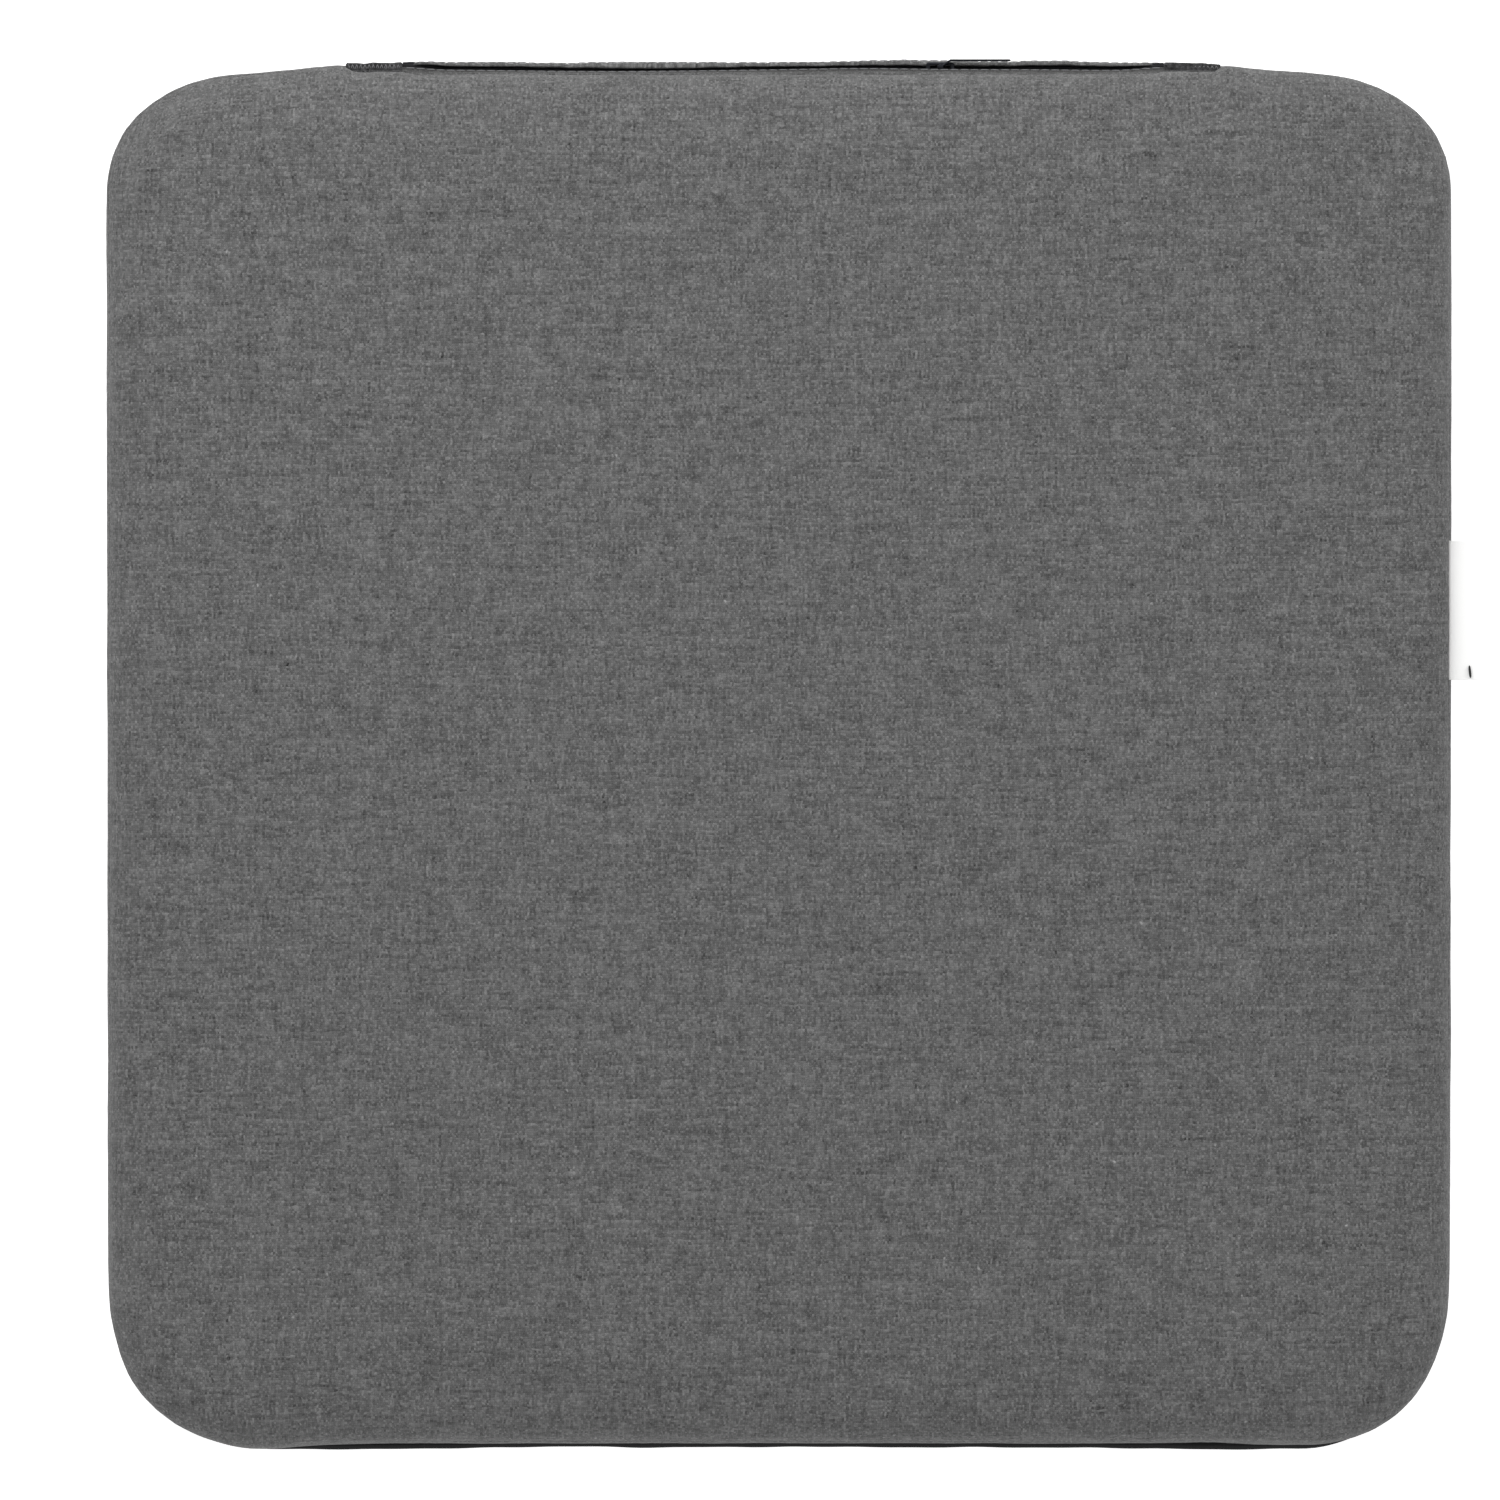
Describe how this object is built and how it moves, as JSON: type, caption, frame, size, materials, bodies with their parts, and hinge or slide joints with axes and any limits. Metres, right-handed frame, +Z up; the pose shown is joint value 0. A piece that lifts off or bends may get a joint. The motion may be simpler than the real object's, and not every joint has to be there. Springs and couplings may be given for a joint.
{
  "type": "kneeling pad",
  "caption": "Square foam kneeling pad with rounded corners, a grey cloth cover that zips open at the rear edge and a black non-slip base.",
  "frame": {"origin": "middle of the pad's plan, on the plane that the pad rests on", "axes": "+X to the right, +Y towards the zip at the rear, +Z up towards the kneeling face"},
  "size_m": [0.415, 0.4144, 0.04],
  "materials": {
    "heather_cloth": "matte",
    "tab_cloth": "matte",
    "base_cloth": "matte",
    "grip_rubber": "satin",
    "zip_tape": "matte",
    "zip_coil": "satin",
    "zip_metal": "satin",
    "thread": "satin",
    "label_satin": "satin",
    "comfort_foam": "matte",
    "support_foam": "matte"
  },
  "bodies": {
    "pad": {"top_panel": "heather_cloth", "side_band": "heather_cloth", "zip_strip_upper": "heather_cloth", "zip_strip_lower": "heather_cloth", "zip_end_tab_left": "tab_cloth", "zip_end_tab_right": "tab_cloth", "base_panel": "base_cloth", "grip_coat": "grip_rubber", "zip_tape_upper": "zip_tape", "zip_tape_lower": "zip_tape", "zip_coil_upper": "zip_coil", "zip_coil_lower": "zip_coil", "zip_top_stops": "zip_metal", "zip_bottom_stop": "zip_metal", "zip_bartacks": "thread", "topstitch_upper": "thread", "topstitch_lower": "thread", "side_label": "label_satin", "care_label": "label_satin", "comfort_foam": "comfort_foam", "support_foam": "support_foam"},
    "slider": {"slider_body": "zip_metal"},
    "pull": {"pull_tab": "zip_metal"}
  },
  "joints": [
    {"name": "slider_travel", "type": "slide", "parent": "pad", "child": "slider", "axis": [1, 0, 0], "range_m": [-0.151, 0.0574]},
    {"name": "pull_flip", "type": "hinge", "parent": "slider", "child": "pull", "pos_m": [0.048, 0.2057, 0.018], "axis": [0, 0, 1], "range_deg": [-5, 150]}
  ]
}
